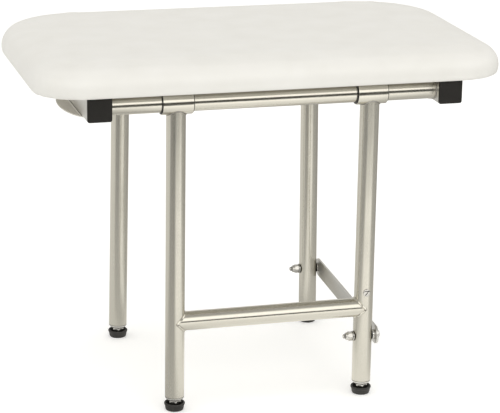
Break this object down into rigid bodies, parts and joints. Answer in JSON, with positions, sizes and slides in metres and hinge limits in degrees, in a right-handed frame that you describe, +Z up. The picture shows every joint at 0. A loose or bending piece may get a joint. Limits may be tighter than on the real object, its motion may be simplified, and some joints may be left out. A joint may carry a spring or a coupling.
{
  "type": "shower stool",
  "caption": "Padded shower stool: white cushion on square steel arms, tube legs that swing together on a link bar, levelling feet.",
  "frame": {"origin": "on the floor, below the middle of the seat", "axes": "+X to the sitter's left as seen from the front, which is the picture's right; +Y to the back; +Z up"},
  "size_m": [0.626, 0.378, 0.474],
  "materials": {
    "satin_stainless": "satin, brushed along the tube",
    "bright_stainless": "machined, slightly bright",
    "white_vinyl": "satin, smooth coated vinyl over foam",
    "sealed_board": "marine plywood with a pale grey seal",
    "black_plastic": "moulded, fine matt grain",
    "black_nylon": "moulded nylon",
    "black_rubber": "moulded rubber, matt"
  },
  "bodies": {
    "seat": {"seat_pad": "white_vinyl", "seat_board": "sealed_board", "left_arm": "satin_stainless", "left_arm_plate": "satin_stainless", "left_arm_front_cap": "black_plastic", "left_arm_rear_cap": "black_plastic", "right_arm": "satin_stainless", "right_arm_plate": "satin_stainless", "right_arm_front_cap": "black_plastic", "right_arm_rear_cap": "black_plastic", "front_pivot_tube": "satin_stainless", "rear_pivot_tube": "satin_stainless", "seat_bolt_front_left": "bright_stainless", "tee_nut_front_left": "bright_stainless", "seat_bolt_front_right": "bright_stainless", "tee_nut_front_right": "bright_stainless", "seat_bolt_middle_left": "bright_stainless", "tee_nut_middle_left": "bright_stainless", "seat_bolt_middle_right": "bright_stainless", "tee_nut_middle_right": "bright_stainless", "seat_bolt_rear_left": "bright_stainless", "tee_nut_rear_left": "bright_stainless", "seat_bolt_rear_right": "bright_stainless", "tee_nut_rear_right": "bright_stainless"},
    "front_legs": {"front_cross_bar": "satin_stainless", "front_left_leg": "satin_stainless", "front_left_leg_insert": "bright_stainless", "front_left_sleeve": "satin_stainless", "front_left_outer_bush": "black_nylon", "front_left_inner_bush": "black_nylon", "front_right_leg": "satin_stainless", "front_right_leg_insert": "bright_stainless", "front_right_sleeve": "satin_stainless", "front_right_outer_bush": "black_nylon", "front_right_inner_bush": "black_nylon", "front_right_leg_screw": "bright_stainless", "front_link_bolt": "bright_stainless", "front_link_spacer": "bright_stainless", "front_link_nut": "bright_stainless"},
    "rear_legs": {"rear_sleeve": "satin_stainless", "rear_left_leg": "satin_stainless", "rear_left_leg_insert": "bright_stainless", "rear_left_bush": "black_nylon", "rear_right_leg": "satin_stainless", "rear_right_leg_insert": "bright_stainless", "rear_right_bush": "black_nylon", "rear_link_bolt": "bright_stainless", "rear_link_spacer": "bright_stainless", "rear_link_nut": "bright_stainless"},
    "link": {"link_bar": "satin_stainless"},
    "front_left_foot_unit": {"front_left_foot": "black_rubber", "front_left_foot_stud": "bright_stainless"},
    "front_right_foot_unit": {"front_right_foot": "black_rubber", "front_right_foot_stud": "bright_stainless"},
    "rear_left_foot_unit": {"rear_left_foot": "black_rubber", "rear_left_foot_stud": "bright_stainless"},
    "rear_right_foot_unit": {"rear_right_foot": "black_rubber", "rear_right_foot_stud": "bright_stainless"}
  },
  "joints": [
    {"name": "leg_fold", "type": "hinge", "parent": "seat", "child": "front_legs", "pos_m": [0, -0.154, 0.41783], "axis": [1, 0, 0], "range_deg": [0, 72]},
    {"name": "rear_leg_fold", "type": "hinge", "parent": "seat", "child": "rear_legs", "pos_m": [0, 0.136, 0.41783], "axis": [1, 0, 0], "range_deg": [0, 72]},
    {"name": "link_pivot", "type": "hinge", "parent": "front_legs", "child": "link", "pos_m": [0.1466, -0.154, 0.082], "axis": [1, 0, 0], "range_deg": [-72, 0]},
    {"name": "front_left_foot_screw", "type": "slide", "parent": "front_legs", "child": "front_left_foot_unit", "axis": [0, 0, -1], "range_m": [0, 0.015]},
    {"name": "front_right_foot_screw", "type": "slide", "parent": "front_legs", "child": "front_right_foot_unit", "axis": [0, 0, -1], "range_m": [0, 0.015]},
    {"name": "rear_left_foot_screw", "type": "slide", "parent": "rear_legs", "child": "rear_left_foot_unit", "axis": [0, 0, -1], "range_m": [0, 0.015]},
    {"name": "rear_right_foot_screw", "type": "slide", "parent": "rear_legs", "child": "rear_right_foot_unit", "axis": [0, 0, -1], "range_m": [0, 0.015]}
  ],
  "couplings": [
    {"joint": "rear_leg_fold", "follows": "leg_fold", "ratio": 1},
    {"joint": "link_pivot", "follows": "leg_fold", "ratio": -1}
  ]
}
